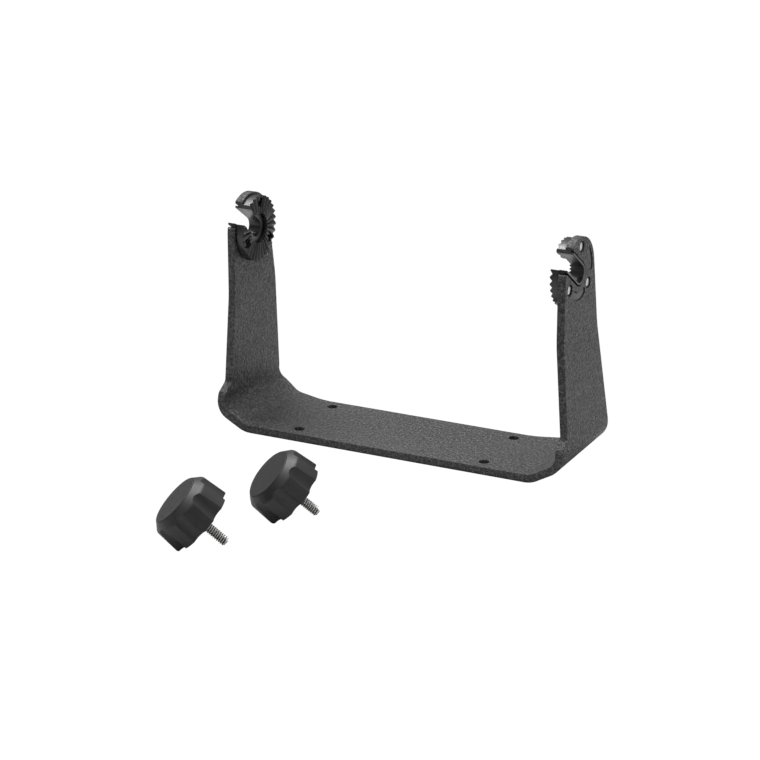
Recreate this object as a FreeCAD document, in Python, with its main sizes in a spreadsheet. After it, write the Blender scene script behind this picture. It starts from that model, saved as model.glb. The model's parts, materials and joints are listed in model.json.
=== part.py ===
import FreeCAD, Part
import Sketcher
import math
import os

# Bail mounting bracket: a bent strip with a toothed insert pinned into the slotted head of
# each arm, and two loose clamp knobs.  Millimetres and degrees, +Z up.  The base stands on
# Z = 0, the arms rise at +X and -X, and the slots in the heads open towards -Y and upwards.

Vector = FreeCAD.Vector

SIZES = {
    # bent strip: "front" distances run towards -Y, "back" ones towards +Y
    "plate_thick": 5.25, "base_front": 33.8, "base_back": 33.3, "flare_back": 45.9,
    "low_bend_x": 104.15, "facet_angle": 29.0, "arm_ref_x": 125.5, "arm_ref_z": 36.0,
    "arm_lean": 3.8, "head_bend": 92.0, "head_bend_run": 3.0,
    "low_bend_rad": 12.5, "arm_bend_rad": 8.0,
    "flare_start": 79.5, "flare_end": 116.0, "flare_rad_a": 45.0, "flare_rad_b": 20.0,
    "foot_low": 8.0, "foot_front": 31.4, "foot_top": 24.3, "foot_arm": 30.0, "foot_rad": 4.0,
    "back_angle": 10.2, "head_spare": 6.0,
    "hole_gap_x": 136.5, "hole_gap_y": 48.5, "hole_dia": 7.0,
    # heads: the angles run about the hub from +Y towards +Z
    "hub_y": 1.4, "hub_z": 133.8, "head_rad": 24.0,
    "slot_angle": 145.0, "slot_wide": 16.7, "seam": 0.05, "tip_rad": 1.2,
    "ring_rad": 17.5, "eye_dia": 8.0, "eye_top": 82.5, "eye_rear": -34.0, "eye_front": -157.5,
    "long_rad": 18.8, "long_wide": 4.4, "long_from": 0.0, "long_span": 40.5,
    "moon_rad": 14.8, "moon_wide": 5.2, "moon_from": -125.5, "moon_span": 61.0,
    # toothed inserts
    "insert_rad": 22.3, "insert_thick": 6.4,
    "lip_gap": 12.0, "lip_wide": 1.2, "lip_proud": 0.25, "lip_inset": 0.4,
    "groove_deep": 1.8, "jaw_flat": 12.3, "lug_sink": 0.6, "lug_gap": 0.42, "boss_sink": 1.5,
    "bowl_rad": 10.3, "bowl_deep": 3.0,
    "teeth": 30, "tooth_deep_in": 1.2, "tooth_deep_out": 1.6,
    # pins that hold the inserts
    "pin_rad": 2.6, "pin_sink": 0.9, "pin_head_rad": 3.3, "pin_head_tall": 1.2,
    "pin_head_deep": 4.0, "well_gap": 0.1,
    # knobs
    "grip_rad": 22.9, "grip_top_rad": 21.75, "grip_side": 16.4, "grip_tall": 21.0,
    "grip_face_rad": 17.3, "grip_round": 2.6, "grip_bevel": 0.4,
    "lobes": 8, "flute_rad": 6.9, "flute_off": 27.0,
    "cap_rad": 16.8, "cap_thick": 2.3, "cap_proud": 0.45, "cap_round": 0.3, "fit_gap": 0.05,
    "shank_rad": 3.175, "shank_out": 20.4, "neck_rad": 3.45,
    "head_flat": 11.11, "head_tall": 3.97, "tip_cut": 0.7,
    # where the knobs lie: centre of the rear face, heading of the screw, its dip, turn about it
    "knob_left_x": -32.8, "knob_left_y": -217.2, "knob_left_z": 16.55,
    "knob_left_head": 30.1, "knob_left_dip": 43.0, "knob_left_spin": 19.5,
    "knob_right_x": -3.6, "knob_right_y": -153.2, "knob_right_z": 16.85,
    "knob_right_head": 37.0, "knob_right_dip": 42.1, "knob_right_spin": 17.75,
}

# Half outline of a tooth gap: overrun beyond the face in mm, share of the tooth depth, share
# of half the tooth pitch.  The crests are eased and the root is a narrow flat.
TOOTH_GAP = ((-0.6, 0, 0.88), (0, 0, 0.88), (0, 0.14, 0.74), (0, 0.45, 0.46), (0, 1, 0.07))

# The eyes in each head: letter of the cutter, place on the head
EYES = (("a", "top"), ("b", "rear"), ("c", "front"))

doc = FreeCAD.newDocument("bail_mount")
sheet = doc.addObject("Spreadsheet::Sheet", "Dims")
for row, (name, value) in enumerate(SIZES.items(), start=1):
    sheet.set(f"A{row}", name)
    sheet.set(f"B{row}", str(value))
    sheet.setAlias(f"B{row}", name)
scratch = doc.addObject("Spreadsheet::Sheet", "Scratch")
doc.recompute()


# ------------------------------------------------------------------ expressions and placement
def linked(text):
    """Turn every size written as @name into a reference to the sheet."""
    return text.replace("@", "Dims.")


def value_of(text):
    """Number behind an expression, worked out in a cell of the scratch sheet."""
    scratch.set("A1", "=" + linked(text))
    scratch.recompute()
    result = scratch.get("A1")
    return float(result.Value) if hasattr(result, "Value") else float(result)


def minus(text):
    return f"-({text})"


def around(radius, angle):
    """The two coordinates of a point at a radius and an angle about the origin."""
    return f"{radius} * cos(({angle}) * 1deg)", f"{radius} * sin(({angle}) * 1deg)"


X_AXIS, Y_AXIS, Z_AXIS = "1; 0; 0", "0; 1; 0", "0; 0; 1"


def step(offset, axis, angle):
    return (f"create(<<placement>>; create(<<vector>>; {offset}); "
            f"create(<<rotation>>; create(<<vector>>; {axis}); {angle}))")


def move(x, y, z):
    return step(f"{x}; {y}; {z}", Z_AXIS, "0")


def turn(axis, angle):
    return step("0; 0; 0", axis, angle)


def place(obj, *steps):
    """Placement as a product of moves and turns, driven by the sheet."""
    obj.setExpression("Placement", linked(" * ".join(steps)))
    return obj


# ------------------------------------------------------------------ sketches
def origin_item(body, role):
    return next(item for item in body.Origin.OriginFeatures if item.Role == role)


def new_body(label):
    return doc.addObject("PartDesign::Body", label)


def new_sketch(body, role, offset=None):
    sketch = body.newObject("Sketcher::SketchObject", body.Name + "_sk")
    sketch.AttachmentSupport = (origin_item(body, role), [""])
    sketch.MapMode = "FlatFace"
    if offset:
        sketch.setExpression("AttachmentOffset.Base.z", linked(offset))
    return sketch


def drive(sketch, expression, kind, *refs):
    """Add a dimension to the sketch and bind it to an expression."""
    index = sketch.addConstraint(Sketcher.Constraint(kind, *refs, value_of(expression)))
    sketch.setExpression(f"Constraints[{index}]", linked(expression))


def pin_point(sketch, geometry, end, x, y):
    """Dimension a point from the sketch origin; a coordinate of None stays free."""
    if x is not None:
        drive(sketch, x, "DistanceX", -1, 1, geometry, end)
    if y is not None:
        drive(sketch, y, "DistanceY", -1, 1, geometry, end)


def corner_vectors(points):
    return [Vector(value_of(x), value_of(y), 0) for x, y in points]


def polygon(sketch, points):
    corners = corner_vectors(points)
    count = len(corners)
    for i in range(count):
        sketch.addGeometry(Part.LineSegment(corners[i], corners[(i + 1) % count]), False)
    for i in range(count):
        sketch.addConstraint(Sketcher.Constraint("Coincident", i, 2, (i + 1) % count, 1))
    for i, (x, y) in enumerate(points):
        pin_point(sketch, i, 1, x, y)


def circle(sketch, x, y, radius):
    centre = Vector(value_of(x), value_of(y), 0)
    ring = Part.Circle(centre, Vector(0, 0, 1), value_of(radius))
    geometry = sketch.addGeometry(ring, False)
    drive(sketch, radius, "Radius", geometry)
    pin_point(sketch, geometry, 3, x, y)


def hexagon(sketch, half_flat):
    polygon(sketch, [around(f"{half_flat} / cos(30deg)", angle) for angle in range(0, 360, 60)])


# ------------------------------------------------------------------ body features
def extrude(body, sketch, length, label, kind="Pad", reverse=False, midplane=False):
    feature = body.newObject("PartDesign::" + kind, f"{body.Name}_{label}")
    feature.Profile = sketch
    feature.setExpression("Length", linked(length))
    feature.Reversed = reverse
    if midplane:
        feature.Midplane = True
    doc.recompute()
    return feature


def revolve(body, sketch, label):
    feature = body.newObject("PartDesign::Revolution", label)
    feature.Profile = sketch
    feature.ReferenceAxis = (sketch, ["V_Axis"])
    feature.Angle = 360
    doc.recompute()


def polar_pattern(body, feature, axis_role, count, label):
    pattern = body.newObject("PartDesign::PolarPattern", label)
    pattern.Originals = [feature]
    pattern.Axis = (origin_item(body, axis_role), [""])
    pattern.Angle = 360
    pattern.setExpression("Occurrences", linked(count))
    body.Tip = pattern
    doc.recompute()


def round_edges(body, wanted, radius, label):
    """Fillet every edge of the body that passes the test `wanted`."""
    base = body.Tip
    names = [f"Edge{i}" for i, edge in enumerate(base.Shape.Edges, start=1) if wanted(edge)]
    if not names:
        raise RuntimeError("no edges for " + label)
    fillet = body.newObject("PartDesign::Fillet", f"{body.Name}_{label}")
    fillet.Base = (base, names)
    fillet.setExpression("Radius", linked(radius))
    doc.recompute()


def round_straight(body, axis, radius, label, **coordinates):
    """Fillet the straight edges along `axis` that start at these distances from the origin."""
    targets = {name: abs(value_of(text)) for name, text in coordinates.items()}

    def wanted(edge):
        if not isinstance(edge.Curve, Part.Line):
            return False
        if abs(abs(edge.Curve.Direction.dot(axis)) - 1) >= 1e-6:
            return False
        point = edge.Vertexes[0].Point
        return all(abs(abs(getattr(point, name)) - target) <= 0.05
                   for name, target in targets.items())

    round_edges(body, wanted, radius, label)


# ------------------------------------------------------------------ bent strip
FACET_TAN = "tan(@facet_angle * 1deg)"
LEAN_TAN = "tan(@arm_lean * 1deg)"
# corners at the low bend (base to facet) and the arm bend (facet to leaning arm), on the
# outer and inner faces of the strip
LOW_OUT_X = "(@low_bend_x + @plate_thick * tan(@facet_angle * 1deg / 2))"
SLOPES = f"(1 / {FACET_TAN} + {LEAN_TAN})"
ARM_OUT_Z = f"((@arm_ref_x + @arm_ref_z * {LEAN_TAN} - {LOW_OUT_X}) / {SLOPES})"
ARM_OUT_X = f"({LOW_OUT_X} + {ARM_OUT_Z} / {FACET_TAN})"
ARM_IN_Z = (f"((@arm_ref_x - @plate_thick / cos(@arm_lean * 1deg) + @arm_ref_z * {LEAN_TAN}"
            f" - @low_bend_x + @plate_thick / {FACET_TAN}) / {SLOPES})")
ARM_IN_X = f"(@low_bend_x + ({ARM_IN_Z} - @plate_thick) / {FACET_TAN})"
# outer and inner face of the upright head
HEAD_X = f"(@arm_ref_x - (@head_bend - @arm_ref_z) * {LEAN_TAN})"
HEAD_IN_X = f"({HEAD_X} - @plate_thick)"
HEAD_IN_Z = "(@head_bend - @plate_thick * tan(@arm_lean * 1deg / 2))"
BLANK_TOP = "(@hub_z + @head_rad + @head_spare)"
HEAD_FRONT = "(@hub_y - @head_rad)"


def strip_profile():
    """Section of the strip in XZ; the bend below each head is spread over a short run."""
    run_x = f" + @head_bend_run * {LEAN_TAN}"
    right = [
        (LOW_OUT_X, "0"),
        (ARM_OUT_X, ARM_OUT_Z),
        (HEAD_X + run_x, "@head_bend - @head_bend_run"),
        (HEAD_X, "@head_bend + @head_bend_run"),
        (HEAD_X, BLANK_TOP),
        (HEAD_IN_X, BLANK_TOP),
        (HEAD_IN_X, HEAD_IN_Z + " + @head_bend_run"),
        (HEAD_IN_X + run_x, HEAD_IN_Z + " - @head_bend_run"),
        (ARM_IN_X, ARM_IN_Z),
        ("@low_bend_x", "@plate_thick"),
    ]
    return right + [(minus(x), z) for x, z in reversed(right)]


def cut_arm_outline(blank):
    """Trim both arms, seen along X: foot, front edge, round head, slanting back edge."""
    tangent_y = "(@hub_y + @head_rad * cos(@back_angle * 1deg))"
    tangent_z = "(@hub_z + @head_rad * sin(@back_angle * 1deg))"
    low_y = f"{tangent_y} + ({tangent_z} - @foot_low) * tan(@back_angle * 1deg)"
    # the plain margins only carry the cut clear of the strip
    points = [
        ("-(@base_front + 20)", "@foot_low"),
        ("-@base_front", "@foot_low"),
        ("-@foot_front", "@foot_top"),
        (HEAD_FRONT, "@foot_arm"),
        (HEAD_FRONT, "@hub_z"),
        (tangent_y, tangent_z),
        (low_y, "@foot_low"),
        ("@flare_back + 30", "@foot_low"),
        ("@flare_back + 30", BLANK_TOP + " + 10"),
        ("-(@base_front + 20)", BLANK_TOP + " + 10"),
    ]
    arc = 4  # the side from point 4 to point 5 is the round head, drawn from 5 back to 4
    sketch = new_sketch(blank, "YZ_Plane")
    corners = corner_vectors(points)
    count = len(points)
    for i in range(count):
        if i == arc:
            hub = Vector(SIZES["hub_y"], SIZES["hub_z"], 0)
            head = Part.Circle(hub, Vector(0, 0, 1), SIZES["head_rad"])
            side = Part.ArcOfCircle(head, math.radians(SIZES["back_angle"]), math.pi)
        else:
            side = Part.LineSegment(corners[i], corners[(i + 1) % count])
        sketch.addGeometry(side, False)
    for i in range(count):
        j = (i + 1) % count
        ends = (i, 1 if i == arc else 2, j, 2 if j == arc else 1)
        sketch.addConstraint(Sketcher.Constraint("Coincident", *ends))
    pin_point(sketch, arc, 3, "@hub_y", "@hub_z")
    drive(sketch, "@head_rad", "Radius", arc)
    for i, (y, z) in enumerate(points):
        if i == arc:
            pin_point(sketch, arc, 2, None, z)
        elif i == arc + 1:
            pin_point(sketch, i, 1, None, z)
        else:
            pin_point(sketch, i, 1, y, z)
    extrude(blank, sketch, "500", "arm_outline", kind="Pocket", midplane=True)


def cut_base_back(blank):
    """Back edge of the base, straight in the middle and flaring out to the arms."""
    right = [("@flare_start", "@base_back"), ("@flare_end", "@flare_back"),
             ("@flare_end", "@flare_back + 20")]
    sketch = new_sketch(blank, "XY_Plane")
    polygon(sketch, right + [(minus(x), y) for x, y in reversed(right)])
    extrude(blank, sketch, "60", "base_flare", kind="Pocket", midplane=True)


def cut_base_holes(blank):
    sketch = new_sketch(blank, "XY_Plane")
    for sign_x in ("", "-"):
        for sign_y in ("", "-"):
            circle(sketch, sign_x + "@hole_gap_x / 2", sign_y + "@hole_gap_y / 2",
                   "@hole_dia / 2")
    extrude(blank, sketch, "60", "base_holes", kind="Pocket", midplane=True)


def build_blank():
    blank = new_body("strip_blank")
    sketch = new_sketch(blank, "XZ_Plane", "@base_front")
    polygon(sketch, strip_profile())
    extrude(blank, sketch, "@base_front + @flare_back", "strip", reverse=True)
    for x, z, radius, label in (
            ("@low_bend_x", "@plate_thick", "@low_bend_rad", "bend_a"),
            (LOW_OUT_X, "0", "@low_bend_rad + @plate_thick", "bend_b"),
            (ARM_IN_X, ARM_IN_Z, "@arm_bend_rad", "bend_c"),
            (ARM_OUT_X, ARM_OUT_Z, "@arm_bend_rad + @plate_thick", "bend_d")):
        round_straight(blank, Vector(0, 1, 0), radius, label, x=x, z=z)
    cut_arm_outline(blank)
    cut_base_back(blank)
    upright, across = Vector(0, 0, 1), Vector(1, 0, 0)
    round_straight(blank, upright, "@flare_rad_a", "flare_a", x="@flare_start", y="@base_back")
    round_straight(blank, upright, "@flare_rad_b", "flare_b", x="@flare_end", y="@flare_back")
    round_straight(blank, across, "@foot_rad", "foot_a", y="@foot_front", z="@foot_top")
    round_straight(blank, across, "@foot_rad", "foot_b", y=HEAD_FRONT, z="@foot_arm")
    cut_base_holes(blank)
    return blank


# ------------------------------------------------------------------ solids about the right hub
# Local frame: origin on the outer face of the arm, X square to the arm and pointing out, Y
# along the base.  A reach is a pair: where a solid starts on X, and its length along X.
HUB = move(HEAD_X, "@hub_y", "@hub_z")
FACE = "-(@plate_thick + @insert_thick)"
THROUGH_HEAD = ("-(@plate_thick + 1)", "@plate_thick + 2")
THROUGH_ALL = ("-(@plate_thick + @insert_thick + 1)", "@plate_thick + @insert_thick + 2")
# depth below the outer face of the arm at which the pin heads seat
LEDGE = "(@plate_thick + @insert_thick - @pin_head_deep - @pin_head_tall)"


def combine(kind, label, parts):
    result = doc.addObject("Part::" + kind, label)
    result.Shapes = parts
    return result


def fuse(label, parts):
    return combine("MultiFuse", label, parts)


def cut(label, base, tool):
    result = doc.addObject("Part::Cut", label)
    result.Base = base
    result.Tool = tool
    return result


def mirrored(label, source):
    mirror = doc.addObject("Part::Mirroring", label)
    mirror.Source = source
    mirror.Normal = Vector(1, 0, 0)
    mirror.Base = Vector(0, 0, 0)
    return mirror


def cylinder(label, radius, reach, centre=("0", "0"), start="0", span=None):
    """Cylinder along X, or a sector of one from the angle `start` over `span`."""
    solid = doc.addObject("Part::Cylinder", label)
    solid.setExpression("Radius", linked(radius))
    solid.setExpression("Height", linked(reach[1]))
    steps = [move(reach[0], *centre), turn(Y_AXIS, "90")]
    if span is not None:
        solid.setExpression("Angle", linked(span))
        steps.append(turn(Z_AXIS, start + " + 90"))
    return place(solid, *steps)


def open_slot(label, width, reach):
    """Slot with a round end at the hub, running out past the rim of the head."""
    box = doc.addObject("Part::Box", label + "_run")
    box.setExpression("Length", linked(reach[1]))
    box.setExpression("Width", linked("@head_rad + 10"))
    box.setExpression("Height", linked(width))
    place(box, move(reach[0], "0", "0"), turn(X_AXIS, "@slot_angle"),
          move("0", "0", f"-({width}) / 2"))
    return fuse(label, [box, cylinder(label + "_end", f"({width}) / 2", reach)])


def arc_slot(prefix, name, reach, shrink="0"):
    """Round-ended arc about the hub, from the sizes that start with `name`."""
    label = f"{prefix}_{name}"
    radius, start, span = f"@{name}_rad", f"@{name}_from", f"@{name}_span"
    half = f"(@{name}_wide / 2 - {shrink})"
    longer = (reach[0] + " - 1", f"({reach[1]}) + 2")
    ring = cut(label + "_ring",
               cylinder(label + "_o", f"{radius} + {half}", reach, start=start, span=span),
               cylinder(label + "_i", f"{radius} - {half}", longer))
    ends = [cylinder(f"{label}_end_{letter}", half, reach, centre=around(radius, angle))
            for letter, angle in (("a", start), ("b", f"{start} + {span}"))]
    return fuse(label, [ring] + ends)


def at_eye(label, where, radius, reach):
    return cylinder(label, radius, reach, centre=around("@ring_rad", "@eye_" + where))


# ------------------------------------------------------------------ bracket
def build_head_cutter():
    cutter = fuse("head_cutter", [
        open_slot("cut_slot", "@slot_wide", THROUGH_HEAD),
        arc_slot("cut", "long", THROUGH_HEAD),
        arc_slot("cut", "moon", THROUGH_HEAD),
    ] + [at_eye("cut_eye_" + letter, where, "@eye_dia / 2", THROUGH_HEAD)
         for letter, where in EYES])
    return place(cutter, HUB)


def jaw_tip_edges(shape):
    """Numbers of the edges through the plate where the open slots meet the head rims."""
    slot_angle = math.radians(SIZES["slot_angle"])
    half_wide = SIZES["slot_wide"] / 2
    run = math.sqrt(SIZES["head_rad"] ** 2 - half_wide ** 2)
    numbers = []
    for side in (-1, 1):
        offset = side * half_wide
        y = SIZES["hub_y"] + run * math.cos(slot_angle) - offset * math.sin(slot_angle)
        z = SIZES["hub_z"] + run * math.sin(slot_angle) + offset * math.cos(slot_angle)
        for number, edge in enumerate(shape.Edges, start=1):
            middle = edge.CenterOfMass
            close = abs(middle.y - y) < 0.6 and abs(middle.z - z) < 0.6
            depth = abs(edge.Vertexes[0].Point.x - edge.Vertexes[-1].Point.x)
            if edge.Length < 8 and close and depth > 3:
                numbers.append(number)
    return numbers


def build_bracket():
    blank = build_blank()
    cutter = build_head_cutter()
    other = mirrored("head_cutter_left", cutter)
    doc.recompute()
    sharp = cut("bracket_sharp", blank, fuse("head_cutters", [cutter, other]))
    doc.recompute()
    bracket = doc.addObject("Part::Fillet", "bail_bracket")
    bracket.Base = sharp
    tip_rad = SIZES["tip_rad"]
    bracket.Edges = [(number, tip_rad, tip_rad) for number in jaw_tip_edges(sharp.Shape)]
    doc.recompute()
    return bracket


# ------------------------------------------------------------------ toothed inserts
def tooth_gap_sketch(disc, radius, depth):
    """Section of one tooth gap at a distance from the hub axis."""
    half = [(f"{FACE} + ({overrun} + {deep} * {depth})",
             f"{share} * {radius} * tan(180deg / @teeth)")
            for overrun, deep, share in TOOTH_GAP]
    sketch = new_sketch(disc, "XZ_Plane", "-" + radius)
    polygon(sketch, half + [(x, minus(y)) for x, y in reversed(half)])
    return sketch


def build_tooth_disc():
    """Disc against the inner face of the arm, teeth and a round bowl on its far face."""
    disc = new_body("tooth_disc")
    sketch = new_sketch(disc, "YZ_Plane", "-@plate_thick")
    circle(sketch, "0", "0", "@insert_rad")
    extrude(disc, sketch, "@insert_thick", "disc", reverse=True)
    # the gap starts inside the bowl and ends beyond the rim
    inner = tooth_gap_sketch(disc, "(@bowl_rad - 1.5)", "@tooth_deep_in")
    outer = tooth_gap_sketch(disc, "(@insert_rad + 1)", "@tooth_deep_out")
    doc.recompute()
    gap = disc.newObject("PartDesign::SubtractiveLoft", "tooth_gap")
    gap.Profile = inner
    gap.Sections = [outer]
    gap.Ruled = True
    doc.recompute()
    polar_pattern(disc, gap, "X_Axis", "@teeth", "tooth_ring")
    sketch = new_sketch(disc, "YZ_Plane", FACE)
    circle(sketch, "0", "0", "@bowl_rad")
    extrude(disc, sketch, "@bowl_deep", "bowl", kind="Pocket", reverse=True)
    return disc


def build_lip():
    """Lining of the open slot, widest at its root and proud of the arm's outer face."""
    proud = ("-@plate_thick", "@plate_thick + @lip_proud")
    root = ("-@plate_thick", "@plate_thick - @groove_deep")
    limit = cylinder("lip_limit", "@head_rad - @lip_inset", proud)
    solid = fuse("lip_solid", [
        open_slot("lip_root", "@slot_wide - 2 * @seam", root),
        open_slot("lip_edge", "@lip_gap + 2 * @lip_wide", proud)])
    return combine("MultiCommon", "lip_block", [solid, limit])


def build_inserts():
    disc = build_tooth_disc()
    tools = [open_slot("open_slot", "@lip_gap", THROUGH_ALL)]
    # the end of the upper jaw is a flat face
    jaw = doc.addObject("Part::Box", "jaw_end")
    jaw.setExpression("Length", linked(THROUGH_ALL[1]))
    jaw.Width = 30
    jaw.Height = 40
    tools.append(place(jaw, move(THROUGH_ALL[0], "-@jaw_flat - 30", "@slot_wide / 2")))
    well = (THROUGH_ALL[0], "@plate_thick + @insert_thick + 1 - " + LEDGE)
    for _, where in EYES:
        tools.append(at_eye("pin_bore_" + where, where, "@pin_rad + @fit_gap", THROUGH_ALL))
        tools.append(at_eye("pin_well_" + where, where, "@pin_head_rad + @well_gap", well))

    lug = ("-@plate_thick", "@plate_thick - @lug_sink")
    boss = ("-@plate_thick", "@plate_thick - @boss_sink")
    full = fuse("insert_full", [
        disc,
        build_lip(),
        arc_slot("lug", "long", lug, shrink="@lug_gap"),
        arc_slot("lug", "moon", lug, shrink="@lug_gap"),
    ] + [at_eye("boss_" + where, where, "@eye_dia / 2 - @seam", boss) for _, where in EYES])
    right = place(cut("right_ratchet", full, fuse("insert_tools", tools)), HUB)
    left = mirrored("left_ratchet", right)
    doc.recompute()
    return [left, right]


def build_pins():
    """A headed pin in each eye, its head in a well on the toothed side."""
    pins = []
    for _, where in EYES:
        shaft = at_eye("shaft_" + where, where, "@pin_rad",
                       ("-" + LEDGE, LEDGE + " - @pin_sink"))
        head = at_eye("head_" + where, where, "@pin_head_rad",
                      (f"-({LEDGE} + @pin_head_tall)", "@pin_head_tall"))
        right = place(fuse("right_pin_" + where, [shaft, head]), HUB)
        pins += [mirrored("left_pin_" + where, right), right]
    doc.recompute()
    return pins


# ------------------------------------------------------------------ knobs
# Local frame: the screw along Z, rear face of the grip on Z = 0, cap up, shank down.
CAP_SEAT = "(@grip_tall - @cap_thick + @cap_proud)"
SCREW_HEAD_Z = f"({CAP_SEAT} - @head_tall)"


def circle_edges(matches):
    return lambda edge: isinstance(edge.Curve, Part.Circle) and matches(edge.Curve)


def build_grip(side):
    grip = new_body(side + "_knob_grip")
    sketch = new_sketch(grip, "XZ_Plane")
    polygon(sketch, [
        ("@neck_rad + @fit_gap", "0"),
        ("@grip_rad - @grip_bevel", "0"),
        ("@grip_rad", "@grip_bevel"),
        ("@grip_top_rad", "@grip_side"),
        ("@grip_face_rad", "@grip_tall"),
        ("@cap_rad + @fit_gap", "@grip_tall"),
        ("@cap_rad + @fit_gap", CAP_SEAT),
        ("@neck_rad + @fit_gap", CAP_SEAT),
    ])
    revolve(grip, sketch, side + "_grip_turned")
    shoulder = circle_edges(lambda ring: abs(ring.Radius - SIZES["grip_top_rad"]) < 0.01)
    round_edges(grip, shoulder, "@grip_round", "shoulder")
    sketch = new_sketch(grip, "XY_Plane")
    circle(sketch, "@flute_off * cos(180deg / @lobes)", "@flute_off * sin(180deg / @lobes)",
           "@flute_rad")
    flute = extrude(grip, sketch, "120", "flute", kind="Pocket", midplane=True)
    polar_pattern(grip, flute, "Z_Axis", "@lobes", side + "_flutes")
    sketch = new_sketch(grip, "XY_Plane", CAP_SEAT)
    hexagon(sketch, "(@head_flat / 2 + @fit_gap)")
    extrude(grip, sketch, "@head_tall", "hex_seat", kind="Pocket")
    return grip


def build_cap(side):
    cap = new_body(side + "_knob_cap")
    sketch = new_sketch(cap, "XY_Plane", CAP_SEAT)
    circle(sketch, "0", "0", "@cap_rad")
    extrude(cap, sketch, "@cap_thick", "disc")
    top = SIZES["grip_tall"] + SIZES["cap_proud"]
    rim = circle_edges(lambda ring: abs(ring.Center.z - top) < 0.01)
    round_edges(cap, rim, "@cap_round", "rim")
    return cap


def build_screw(side):
    screw = new_body(side + "_knob_screw")
    sketch = new_sketch(screw, "XY_Plane", SCREW_HEAD_Z)
    hexagon(sketch, "@head_flat / 2")
    extrude(screw, sketch, "@head_tall", "head")
    sketch = new_sketch(screw, "XZ_Plane")
    polygon(sketch, [
        ("0", SCREW_HEAD_Z),
        ("@neck_rad", SCREW_HEAD_Z),
        ("@neck_rad", "0"),
        ("@shank_rad", "0"),
        ("@shank_rad", "-(@shank_out - @tip_cut)"),
        ("@shank_rad - @tip_cut", "-@shank_out"),
        ("0", "-@shank_out"),
    ])
    revolve(screw, sketch, side + "_shank")
    return screw


def build_knob(side):
    size = f"@knob_{side}_"
    pose = (move(size + "x", size + "y", size + "z"), turn(Z_AXIS, size + "head"),
            turn(Y_AXIS, f"-(90 - {size}dip)"), turn(Z_AXIS, size + "spin"))
    return [place(build(side), *pose) for build in (build_grip, build_cap, build_screw)]


# ------------------------------------------------------------------ build, check and export
nodes = [build_bracket()] + build_inserts() + build_pins()
nodes += build_knob("left") + build_knob("right")
doc.removeObject("Scratch")
doc.recompute()

faults = []
for obj in doc.Objects:
    if "Invalid" in obj.State or "Error" in obj.State:
        faults.append(f"{obj.Name} {obj.State}")
for obj in nodes:
    shape = obj.Shape
    if shape.isNull() or not shape.isValid() or len(shape.Solids) != 1:
        faults.append(f"{obj.Label}: not one valid solid")
if faults:
    raise RuntimeError("; ".join(faults))

os.makedirs("parts", exist_ok=True)
for obj in nodes:
    obj.Shape.exportStep(f"parts/{obj.Label}.step")
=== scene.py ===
"""Bail bracket with two clamping knobs, ratchet inserts and pins.

The CAD pieces keep their own frame, in metres with +Z up, and the floor lies at Z = 0.
The camera looks from -Y, turned towards +X and raised. The CAD knob screws are replaced
by ones with a modelled thread.
"""

import json
import math

import bmesh
import bpy
import numpy as np
from mathutils import Matrix, Vector


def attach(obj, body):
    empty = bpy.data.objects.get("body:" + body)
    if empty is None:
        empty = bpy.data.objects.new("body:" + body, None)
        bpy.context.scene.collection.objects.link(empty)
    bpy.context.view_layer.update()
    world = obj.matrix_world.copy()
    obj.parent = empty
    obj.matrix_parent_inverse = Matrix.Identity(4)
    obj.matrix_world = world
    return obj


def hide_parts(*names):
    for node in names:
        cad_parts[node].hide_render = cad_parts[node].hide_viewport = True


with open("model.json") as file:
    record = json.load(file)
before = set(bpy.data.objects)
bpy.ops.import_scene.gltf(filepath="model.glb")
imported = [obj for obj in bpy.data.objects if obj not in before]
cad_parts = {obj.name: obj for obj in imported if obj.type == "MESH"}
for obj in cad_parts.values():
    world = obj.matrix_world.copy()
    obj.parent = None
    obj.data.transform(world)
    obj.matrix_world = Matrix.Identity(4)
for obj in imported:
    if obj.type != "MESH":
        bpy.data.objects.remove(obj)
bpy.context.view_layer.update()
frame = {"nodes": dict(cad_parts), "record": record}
scene = bpy.context.scene
nodes = frame["nodes"]

# Knob screw: z = 0 at the grip's rear face, +z towards the cap
PITCH = 0.0015
THREAD_DEPTH = 0.00086
CREST_HALF = 0.07             # half width of the crest and of the root, in pitches
FLANK_SHARE = 0.90            # part of the depth cut by the straight flank
THREAD_INSET = 0.00004        # crests below the nominal radius
SHANK_RADIUS = 0.003175
SHANK_LENGTH = 0.0204
POINT_INSET = 0.0009          # point chamfer: inset at the tip
POINT_SLOPE = 1.15            # and radius gained per length
ROOT_SHADE_START = 0.0008     # the chamfer is left bright up to here from the tip
TIP_DISH = 0.00015
NECK_RADIUS = 0.00343         # plain neck inside the grip
HEAD_FLAT = 0.01111           # across the flats of the hexagon
HEAD_HEIGHT = 0.00397
HEAD_INSET = 0.00003          # flats below the nominal size
HEAD_CHAMFER = 0.00035
HEAD_CORNER = 1.13            # rounded corner radius over the half flat
TIP_Z = -SHANK_LENGTH
HEAD_TOP_Z = 0.01915          # where the cap sits
HEAD_BASE_Z = HEAD_TOP_Z - HEAD_HEIGHT

# Floor
FLOOR_HALF = 3.0
FLOOR_CELLS = 24

# Brightness of floor and backdrop as the camera sees them
CLEAR_WHITE = 1.02

# Room light: strength at the horizon, gain overhead, and gains towards +X and +Y
ROOM_LOW, ROOM_TOP, ROOM_SIDE, ROOM_BACK = 0.05, 0.85, 0.05, 0.05
ROOM_LEAST = 0.02

# Camera
CAMERA_AZIMUTH = math.radians(26.36)      # from -Y towards +X
CAMERA_ELEVATION = math.radians(19.62)
CAMERA_DISTANCE = 1.7470
AIM_HEIGHT = 0.07464
AIM_RIGHT, AIM_UP = -0.01750, -0.02952    # shift of the aim in the view plane
SENSOR_MM = 36.0
LENS_MM = 124.991053


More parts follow.
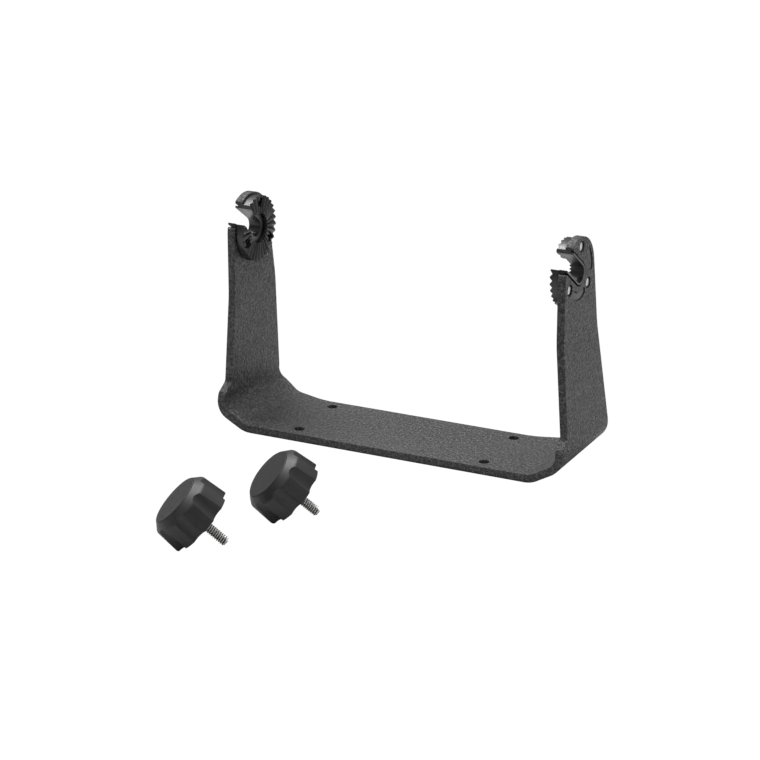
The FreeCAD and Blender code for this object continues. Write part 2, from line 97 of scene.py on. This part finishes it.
# ---------------------------------------------------------------- node graphs
class NodeGraph:
    """Short calls for building the nodes of a material or the world."""

    def __init__(self, tree, output):
        self.tree = tree
        self.output = output

    def add(self, kind):
        return self.tree.nodes.new("ShaderNode" + kind)

    def feed(self, socket, value):
        """Set a socket from a number or an RGB tuple, or link another socket to it."""
        if isinstance(value, (int, float)):
            socket.default_value = value
        elif isinstance(value, tuple):
            socket.default_value = (*value, 1)
        else:
            self.tree.links.new(value, socket)

    def object_coords(self):
        source = self.add("TexCoord")
        mapping = self.add("Mapping")
        self.feed(mapping.inputs[0], source.outputs["Object"])
        return mapping.outputs[0]

    def noise(self, vector, scale, detail=3.0, roughness=0.55, distortion=0.0):
        """Noise texture; scale is in features per metre."""
        node = self.add("TexNoise")
        node.inputs["Scale"].default_value = scale
        node.inputs["Detail"].default_value = detail
        node.inputs["Roughness"].default_value = roughness
        node.inputs["Distortion"].default_value = distortion
        self.feed(node.inputs["Vector"], vector)
        return node.outputs[0]

    def voronoi(self, vector, scale, feature="F1"):
        node = self.add("TexVoronoi")
        node.feature = feature
        node.inputs["Scale"].default_value = scale
        self.feed(node.inputs["Vector"], vector)
        return node.outputs["Distance"]

    def ramp(self, factor, *stops):
        """Colour ramp; each stop is (position, grey level or RGB)."""
        node = self.add("ValToRGB")
        elements = node.color_ramp.elements
        while len(elements) < len(stops):
            elements.new(0.5)
        for element, (position, color) in zip(elements, stops):
            rgb = color if isinstance(color, tuple) else (color,) * 3
            element.position = position
            element.color = (*rgb, 1)
        self.feed(node.inputs[0], factor)
        return node.outputs[0]

    def maths(self, operation, *values):
        node = self.add("Math")
        node.operation = operation
        for socket, value in zip(node.inputs, values):
            self.feed(socket, value)
        return node.outputs[0]

    def mix(self, factor, first, second):
        node = self.add("Mix")
        node.data_type = "RGBA"
        for index, value in ((0, factor), (6, first), (7, second)):
            self.feed(node.inputs[index], value)
        return node.outputs[2]

    def bevel(self, radius, samples):
        node = self.add("Bevel")
        node.samples = samples
        node.inputs["Radius"].default_value = radius
        return node.outputs[0]

    def eased_edges(self, radius):
        """Normal that rounds the sharp edges."""
        return self.bevel(radius, samples=4)

    def edge_mask(self, radius):
        """1 on the rounded line of a sharp edge, 0 on open faces."""
        rounded = self.bevel(radius, samples=6)
        geometry = self.add("NewGeometry")
        dot = self.add("VectorMath")
        dot.operation = "DOT_PRODUCT"
        self.feed(dot.inputs[0], rounded)
        self.feed(dot.inputs[1], geometry.outputs["Normal"])
        return self.ramp(dot.outputs["Value"], (0.72, 1), (0.97, 0))

    def bump(self, height, distance, strength, normal=None):
        node = self.add("Bump")
        node.inputs["Strength"].default_value = strength
        node.inputs["Distance"].default_value = distance
        self.feed(node.inputs["Height"], height)
        if normal is not None:
            self.feed(node.inputs["Normal"], normal)
        return node.outputs[0]

    def split_camera_rays(self, lighting, seen):
        """Output one shader to the camera and another to all other rays."""
        path = self.add("LightPath")
        blend = self.add("MixShader")
        self.feed(blend.inputs[0], path.outputs["Is Camera Ray"])
        self.feed(blend.inputs[1], lighting.outputs[0])
        self.feed(blend.inputs[2], seen.outputs[0])
        self.feed(self.output.inputs[0], blend.outputs[0])


class Surface(NodeGraph):
    """A new material with one Principled shader."""

    def __init__(self, name):
        self.material = bpy.data.materials.new(name)
        self.material.use_nodes = True
        tree = self.material.node_tree
        tree.nodes.clear()
        super().__init__(tree, tree.nodes.new("ShaderNodeOutputMaterial"))
        self.shader = self.add("BsdfPrincipled")
        self.feed(self.output.inputs[0], self.shader.outputs[0])

    def shade(self, inputs):
        for name, value in inputs.items():
            self.feed(self.shader.inputs[name], value)
        return self.material


# ---------------------------------------------------------------- materials
def powder_coat():
    """Grainy black coat with pale flecks and a patchy painted highlight along its edges."""
    low, middle, high = (0.0035, 0.0035, 0.0038), (0.015, 0.015, 0.0161), (0.060, 0.060, 0.063)
    fleck_color = (0.22, 0.22, 0.225)
    grain_height, cell_height, coarse_height = 0.75, -0.55, 0.35
    broad_lift = 0.12         # how far broad patches go towards the high colour

    s = Surface("powder_coat")
    place = s.object_coords()
    grain = s.noise(place, scale=560, detail=4.0, roughness=0.62)
    cells = s.voronoi(place, scale=600, feature="SMOOTH_F1")
    fleck = s.voronoi(place, scale=620)
    coarse = s.noise(place, scale=230, detail=3.0, roughness=0.5)
    broad = s.noise(place, scale=14, detail=2.0)

    relief = s.maths(
        "ADD",
        s.maths("MULTIPLY", grain, grain_height),
        s.maths("MULTIPLY", cells, cell_height),
    )
    relief = s.maths("ADD", relief, s.maths("MULTIPLY", coarse, coarse_height))

    color = s.ramp(grain, (0.38, low), (0.50, middle), (0.62, high))
    patches = s.ramp(broad, (0.35, 0), (0.65, 1))
    color = s.mix(patches, color, s.mix(broad_lift, color, high))
    color = s.mix(s.ramp(fleck, (0.08, 0.6), (0.26, 0)), color, fleck_color)
    edges = s.edge_mask(radius=0.0005)
    # painted highlight: the colour is made paler in patches along sharp edges
    edge_highlight_patches = s.maths("MULTIPLY", edges, s.ramp(coarse, (0.42, 0), (0.62, 0.22)))
    return s.shade({
        "Base Color": s.mix(edge_highlight_patches, color, fleck_color),
        "Roughness": s.ramp(grain, (0.30, 0.62), (0.70, 0.42)),
        "Specular IOR Level": 0.5,
        "Normal": s.bump(relief, distance=0.0014, strength=1.0,
                         normal=s.eased_edges(radius=0.0006)),
    })


def insert_plastic():
    """Smooth black plastic with painted shade in gaps and wells."""
    shadow = (0.0015, 0.0015, 0.0015)
    specular_gain, specular_least = 0.50, 0.03

    s = Surface("insert_plastic")
    place = s.object_coords()
    fine = s.noise(place, scale=2600)
    flow = s.noise(place, scale=90, distortion=0.6)
    color = s.ramp(flow, (0.30, (0.009, 0.009, 0.0095)), (0.70, (0.016, 0.016, 0.017)))
    # painted shade: ambient occlusion darkens the colour and dims the specular in gaps and
    # wells
    occlusion = s.add("AmbientOcclusion")
    occlusion.samples = 8
    occlusion.inputs["Distance"].default_value = 0.0024
    openness = s.ramp(occlusion.outputs["AO"], (0.42, 0), (0.86, 1))
    return s.shade({
        "Base Color": s.mix(openness, shadow, color),
        "Roughness": s.ramp(flow, (0.30, 0.31), (0.75, 0.45)),
        "Specular IOR Level": s.maths("MULTIPLY_ADD", openness, specular_gain, specular_least),
        "Normal": s.bump(fine, distance=0.00002, strength=0.4,
                         normal=s.eased_edges(radius=0.00014)),
    })


def knob_plastic(name, low, high, smoothest, roughest, edge_radius):
    """Finely textured black plastic with a painted highlight along its edges."""
    edge_highlight_strength, edge_highlight_gain = 0.35, 2.0

    s = Surface(name)
    place = s.object_coords()
    texture = s.noise(place, scale=2300, detail=4.0, roughness=0.6)
    flow = s.noise(place, scale=70, distortion=0.4)
    color = s.ramp(flow, (0.30, low), (0.72, high))
    # painted highlight: the base colour is made paler along sharp edges
    edges = s.maths("MULTIPLY", s.edge_mask(radius=0.0004), edge_highlight_strength)
    return s.shade({
        "Base Color": s.mix(edges, color, tuple(channel * edge_highlight_gain for channel in high)),
        "Roughness": s.ramp(flow, (0.25, smoothest), (0.75, roughest)),
        "Normal": s.bump(texture, distance=0.00004, strength=0.55,
                         normal=s.eased_edges(radius=edge_radius)),
    })


def screw_steel():
    """Bright crests and painted shade in the roots, told apart by the mesh attribute "root".
    """
    root_shade_color = (0.13, 0.13, 0.13)

    s = Surface("screw_steel")
    place = s.object_coords()
    fine = s.noise(place, scale=3000, detail=4.0, roughness=0.65)
    stain = s.noise(place, scale=900, distortion=0.3)
    color = s.ramp(stain, (0.30, (0.60, 0.60, 0.59)), (0.70, (0.78, 0.78, 0.77)))
    root = s.add("Attribute")
    root.attribute_name = "root"
    # painted shade: the base colour darkens towards the thread roots
    depth = s.ramp(root.outputs["Fac"], (0.34, 0), (0.85, 1))
    return s.shade({
        "Base Color": s.mix(depth, color, root_shade_color),
        "Metallic": 1.0,
        "Roughness": s.ramp(fine, (0.3, 0.28), (0.75, 0.42)),
        "Normal": s.bump(fine, distance=0.000012, strength=0.4),
    })


def pin_steel():
    """Faintly mottled steel with eased edges."""
    s = Surface("pin_steel")
    place = s.object_coords()
    fine = s.noise(place, scale=2400, detail=4.0, roughness=0.6)
    stain = s.noise(place, scale=300, distortion=0.6)
    return s.shade({
        "Base Color": s.ramp(stain, (0.30, (0.52, 0.52, 0.51)), (0.75, (0.74, 0.74, 0.73))),
        "Metallic": 1.0,
        "Roughness": s.ramp(fine, (0.3, 0.30), (0.75, 0.46)),
        "Normal": s.bump(fine, distance=0.000015, strength=0.5,
                         normal=s.eased_edges(radius=0.0002)),
    })


COAT = powder_coat()
INSERT = insert_plastic()
GRIP = knob_plastic("knob_plastic", low=(0.008, 0.008, 0.009), high=(0.014, 0.014, 0.015),
                    smoothest=0.48, roughest=0.61, edge_radius=0.0003)
CAP = knob_plastic("cap_plastic", low=(0.008, 0.008, 0.009), high=(0.012, 0.012, 0.013),
                   smoothest=0.56, roughest=0.66, edge_radius=0.0002)
STEEL = screw_steel()
PIN = pin_steel()


def material_for(name):
    """Material of a CAD piece, or None where it keeps its own."""
    if name == "bail_bracket":
        return COAT
    if name.endswith("ratchet"):
        return INSERT
    if "_pin_" in name:
        return PIN
    if name.endswith("grip"):
        return GRIP
    if name.endswith("cap"):
        return CAP
    return None


for node_name in nodes:
    finish = material_for(node_name)
    if finish is not None:
        mesh = nodes[node_name].data
        mesh.materials.clear()
        mesh.materials.append(finish)
        for polygon in mesh.polygons:
            polygon.material_index = 0


# ---------------------------------------------------------------- knob screws
joints = {joint["name"]: joint for joint in frame["record"]["behaviour"]["joints"]}


def knob_matrix(side):
    """Rear face centre of the grip, Z from the screw's tip towards the cap."""
    joint = joints[side + "_knob_turn"]
    z_axis = -Vector(joint["axis"]).normalized()
    y_axis = Vector((0, 0, 1)).cross(z_axis).normalized()
    x_axis = y_axis.cross(z_axis)
    matrix = Matrix((x_axis, y_axis, z_axis)).transposed().to_4x4()
    matrix.translation = Vector(joint["pos_m"])
    return matrix


def thread_cut(phase):
    """Depth below the crest: flat crest, straight flanks, rounded root."""
    from_crest = abs(((phase + 0.5) % 1.0) - 0.5)     # 0 on the crest, 0.5 in the root
    if from_crest < CREST_HALF:
        return 0.0
    if from_crest > 0.5 - CREST_HALF:
        across_root = (0.5 - from_crest) / CREST_HALF
        return THREAD_DEPTH * (1.0 - (1.0 - FLANK_SHARE) * across_root ** 2)
    flank_width = 0.5 - 2 * CREST_HALF
    return THREAD_DEPTH * FLANK_SHARE * (from_crest - CREST_HALF) / flank_width


def thread_radius(angle, z):
    cut = thread_cut(z / PITCH - angle / (2 * math.pi))
    point_limit = SHANK_RADIUS - POINT_INSET + (z - TIP_Z) * POINT_SLOPE
    return min(SHANK_RADIUS - THREAD_INSET - cut, point_limit)


def head_radius(angle, trim):
    """Hexagon with rounded corners, drawn in by trim."""
    from_flat = (angle % (math.pi / 3)) - math.pi / 6
    hexagon = (HEAD_FLAT / 2 - HEAD_INSET) / math.cos(from_flat)
    return min(hexagon - trim, HEAD_FLAT / 2 * HEAD_CORNER)


def screw_sections(angles):
    """(z, radius at each angle) from the tip to the head's top."""
    per_pitch = 16
    thread_end = -0.0001
    sections = [
        (z, [thread_radius(angle, z) for angle in angles])
        for z in np.arange(TIP_Z, thread_end, PITCH / per_pitch)
    ]
    neck = (                  # z, radius
        (0.00002, SHANK_RADIUS - 0.0004),
        (0.00006, NECK_RADIUS - 0.0002),
        (0.0003, NECK_RADIUS),
        (HEAD_BASE_Z - 0.0001, NECK_RADIUS),
    )
    sections += [(z, [radius] * len(angles)) for z, radius in neck]
    head = (                  # z, trim
        (HEAD_BASE_Z, HEAD_CHAMFER),
        (HEAD_BASE_Z + HEAD_CHAMFER, 0.0),
        (HEAD_TOP_Z - HEAD_CHAMFER, 0.0),
        (HEAD_TOP_Z, HEAD_CHAMFER),
    )
    sections += [(z, [head_radius(angle, trim) for angle in angles]) for z, trim in head]
    return sections


def close_end(bm, ring, edges, dish):
    """Close a ring with two smaller rings and a centre raised by dish."""
    z = ring[0].co.z
    outer = ring
    for share in (0.6, 0.25):
        inner = [
            bm.verts.new((vert.co.x * share, vert.co.y * share, z + dish * (1 - share)))
            for vert in ring
        ]
        for i, k in edges:
            bm.faces.new((outer[i], outer[k], inner[k], inner[i]))
        outer = inner
    centre = bm.verts.new((0, 0, z + dish))
    for i, k in edges:
        bm.faces.new((outer[i], outer[k], centre))


def mark_roots(mesh):
    """Store the thread's depth, 0 at the crest and 1 at the root, as "root"; the steel
    material paints shade into the roots from it.
    """
    depths = []
    for vert in mesh.vertices:
        radius = math.hypot(vert.co.x, vert.co.y)
        in_thread = TIP_Z + ROOT_SHADE_START < vert.co.z < 0.0
        depth = (SHANK_RADIUS - radius) / THREAD_DEPTH if in_thread else 0.0
        depths.append(min(1.0, max(0.0, depth)))
    mesh.attributes.new("root", "FLOAT", "POINT").data.foreach_set("value", depths)


def screw_mesh(name):
    around = 96
    angles = [2 * math.pi * i / around for i in range(around)]
    edges = [(i, (i + 1) % around) for i in range(around)]
    bm = bmesh.new()
    rings = [
        [bm.verts.new((r * math.cos(a), r * math.sin(a), z)) for a, r in zip(angles, radii)]
        for z, radii in screw_sections(angles)
    ]
    for lower, upper in zip(rings, rings[1:]):
        for i, k in edges:
            bm.faces.new((lower[i], lower[k], upper[k], upper[i]))
    close_end(bm, rings[0], [(k, i) for i, k in edges], dish=TIP_DISH)
    close_end(bm, rings[-1], edges, dish=0.0)
    bmesh.ops.recalc_face_normals(bm, faces=bm.faces)
    mesh = bpy.data.meshes.new(name)
    bm.to_mesh(mesh)
    bm.free()
    for polygon in mesh.polygons:
        polygon.use_smooth = True
    mesh.set_sharp_from_angle(angle=math.radians(40))
    mark_roots(mesh)
    return mesh


for side in ("left", "right"):
    screw_name = side + "_screw_thread"
    screw = bpy.data.objects.new(screw_name, screw_mesh(screw_name))
    scene.collection.objects.link(screw)
    screw.data.transform(knob_matrix(side))
    screw.data.materials.append(STEEL)
    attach(screw, side + "_knob")
    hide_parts(side + "_knob_screw")


# ---------------------------------------------------------------- floor
def floor_paper():
    """Grey paper to the light, clear white to the camera."""
    s = Surface("floor_paper")
    s.shade({"Base Color": (0.55, 0.55, 0.55), "Roughness": 0.9})
    glow = s.add("Emission")
    glow.inputs["Strength"].default_value = CLEAR_WHITE
    s.split_camera_rays(lighting=s.shader, seen=glow)
    return s.material


def build_floor():
    bm = bmesh.new()
    steps = [-FLOOR_HALF + 2 * FLOOR_HALF * i / FLOOR_CELLS for i in range(FLOOR_CELLS + 1)]
    grid = [[bm.verts.new((x, y, 0.0)) for x in steps] for y in steps]
    for near, far in zip(grid, grid[1:]):
        for i in range(FLOOR_CELLS):
            bm.faces.new((near[i], near[i + 1], far[i + 1], far[i]))
    mesh = bpy.data.meshes.new("floor")
    bm.to_mesh(mesh)
    bm.free()
    floor = bpy.data.objects.new("floor", mesh)
    scene.collection.objects.link(floor)
    mesh.materials.append(floor_paper())


build_floor()


# ---------------------------------------------------------------- world and lights
def build_world():
    """White to the camera; to other rays a room that is brightest overhead."""
    world = bpy.data.worlds.new("studio")
    scene.world = world
    world.use_nodes = True
    tree = world.node_tree
    output = next(node for node in tree.nodes if node.type == "OUTPUT_WORLD")
    graph = NodeGraph(tree, output)
    backdrop = tree.nodes["Background"]
    room = graph.add("Background")
    for background in (backdrop, room):
        background.inputs[0].default_value = (1, 1, 1, 1)
    backdrop.inputs[1].default_value = CLEAR_WHITE

    source = graph.add("TexCoord")
    direction = graph.add("SeparateXYZ")
    graph.feed(direction.inputs[0], source.outputs["Generated"])
    level = ROOM_LOW
    overhead = graph.ramp(direction.outputs["Z"], (0.05, 0), (0.55, 0.55), (1.0, 1))
    for part, gain in (
        (overhead, ROOM_TOP),
        (direction.outputs["X"], ROOM_SIDE),
        (direction.outputs["Y"], ROOM_BACK),
    ):
        level = graph.maths("MULTIPLY_ADD", part, gain, level)
    graph.feed(room.inputs[1], graph.maths("MAXIMUM", level, ROOM_LEAST))
    graph.split_camera_rays(lighting=room, seen=backdrop)


def area_light(name, place, target, width, height, power):
    light = bpy.data.lights.new(name, "AREA")
    light.shape = "RECTANGLE"
    light.size = width
    light.size_y = height
    light.energy = power
    lamp = bpy.data.objects.new(name, light)
    scene.collection.objects.link(lamp)
    lamp.location = place
    aim = Vector(target) - Vector(place)
    lamp.rotation_euler = aim.to_track_quat("-Z", "Y").to_euler()


build_world()
area_light("key", place=(-0.50, 0.16, 1.35), target=(0, -0.05, 0.0),
           width=0.6, height=0.6, power=22.0)
area_light("top", place=(0.20, 0.45, 1.5), target=(0, 0, 0.05),
           width=0.9, height=0.9, power=14.0)
area_light("right", place=(0.72, -0.06, 0.02), target=(0.12, 0, 0.0),
           width=0.30, height=0.12, power=0.60)


# ---------------------------------------------------------------- camera and render
def build_camera():
    level = math.cos(CAMERA_ELEVATION)
    back = Vector((
        math.sin(CAMERA_AZIMUTH) * level,
        -math.cos(CAMERA_AZIMUTH) * level,
        math.sin(CAMERA_ELEVATION),
    ))
    right = Vector((math.cos(CAMERA_AZIMUTH), math.sin(CAMERA_AZIMUTH), 0.0))
    up = back.cross(right)
    target = Vector((0, 0, AIM_HEIGHT)) + right * AIM_RIGHT + up * AIM_UP
    data = bpy.data.cameras.new("camera")
    data.sensor_width = SENSOR_MM
    data.sensor_fit = "HORIZONTAL"
    data.lens = LENS_MM
    data.clip_start = 0.05
    data.clip_end = 50.0
    camera = bpy.data.objects.new("camera", data)
    scene.collection.objects.link(camera)
    turn = Matrix((right, up, back)).transposed().to_4x4()
    camera.matrix_world = Matrix.Translation(target + back * CAMERA_DISTANCE) @ turn
    scene.camera = camera


build_camera()
scene.view_settings.view_transform = "Standard"
scene.view_settings.look = "None"
scene.view_settings.exposure = 0.0
scene.cycles.use_denoising = True
